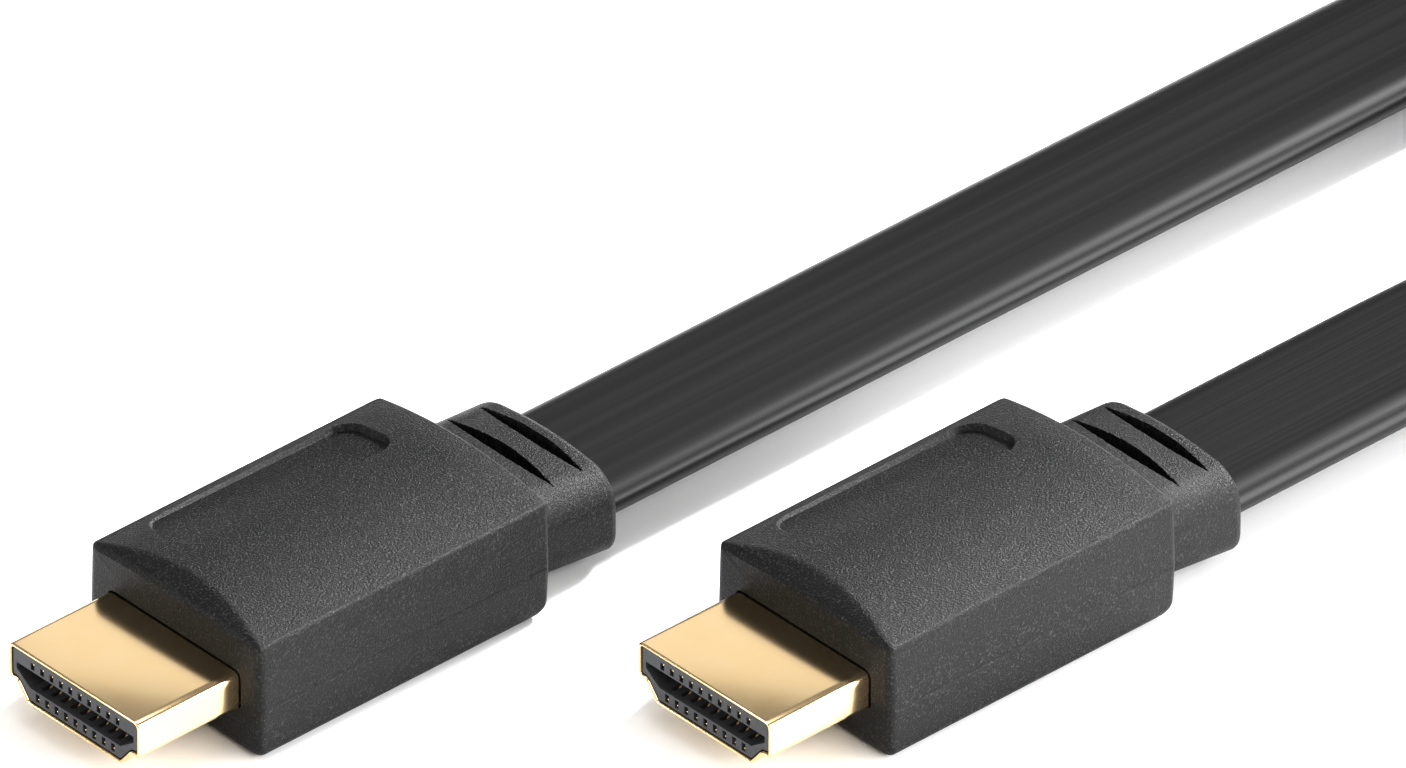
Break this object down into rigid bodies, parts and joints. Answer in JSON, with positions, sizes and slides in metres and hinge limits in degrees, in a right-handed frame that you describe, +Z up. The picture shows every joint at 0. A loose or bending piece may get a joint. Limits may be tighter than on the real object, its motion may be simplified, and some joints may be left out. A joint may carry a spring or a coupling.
{
  "type": "hdmi cable",
  "caption": "Flat black video cable with a gold-plated plug on each end, its spare length rolled up and tied.",
  "frame": {"origin": "centre of the base of the box round the two plugs, on the surface they lie on", "axes": "+X from the plugs' mouths back along the cable, +Y across the two plugs, +Z up"},
  "size_m": [0.2457, 0.1213, 0.0151],
  "materials": {
    "housing": "black moulded plastic with a fine spark-eroded texture",
    "shell": "polished pale gold plating",
    "insulator": "dark grey moulded plastic",
    "contact": "gold-plated spring contacts",
    "cable": "smooth satin black jacket with faint lengthwise streaks",
    "tie": "black woven hook-and-loop band"
  },
  "bodies": {
    "root": {"plug_a_housing": "housing", "plug_a_shell": "shell", "plug_a_insulator": "insulator", "plug_a_contact_01": "contact", "plug_a_contact_02": "contact", "plug_a_contact_03": "contact", "plug_a_contact_04": "contact", "plug_a_contact_05": "contact", "plug_a_contact_06": "contact", "plug_a_contact_07": "contact", "plug_a_contact_08": "contact", "plug_a_contact_09": "contact", "plug_a_contact_10": "contact", "plug_a_contact_11": "contact", "plug_a_contact_12": "contact", "plug_a_contact_13": "contact", "plug_a_contact_14": "contact", "plug_a_contact_15": "contact", "plug_a_contact_16": "contact", "plug_a_contact_17": "contact", "plug_a_contact_18": "contact", "plug_a_contact_19": "contact", "plug_b_housing": "housing", "plug_b_shell": "shell", "plug_b_insulator": "insulator", "plug_b_contact_01": "contact", "plug_b_contact_02": "contact", "plug_b_contact_03": "contact", "plug_b_contact_04": "contact", "plug_b_contact_05": "contact", "plug_b_contact_06": "contact", "plug_b_contact_07": "contact", "plug_b_contact_08": "contact", "plug_b_contact_09": "contact", "plug_b_contact_10": "contact", "plug_b_contact_11": "contact", "plug_b_contact_12": "contact", "plug_b_contact_13": "contact", "plug_b_contact_14": "contact", "plug_b_contact_15": "contact", "plug_b_contact_16": "contact", "plug_b_contact_17": "contact", "plug_b_contact_18": "contact", "plug_b_contact_19": "contact", "cable_run_a": "cable", "cable_run_b": "cable", "cable_coil": "cable", "coil_tie": "tie"}
  },
  "joints": []
}
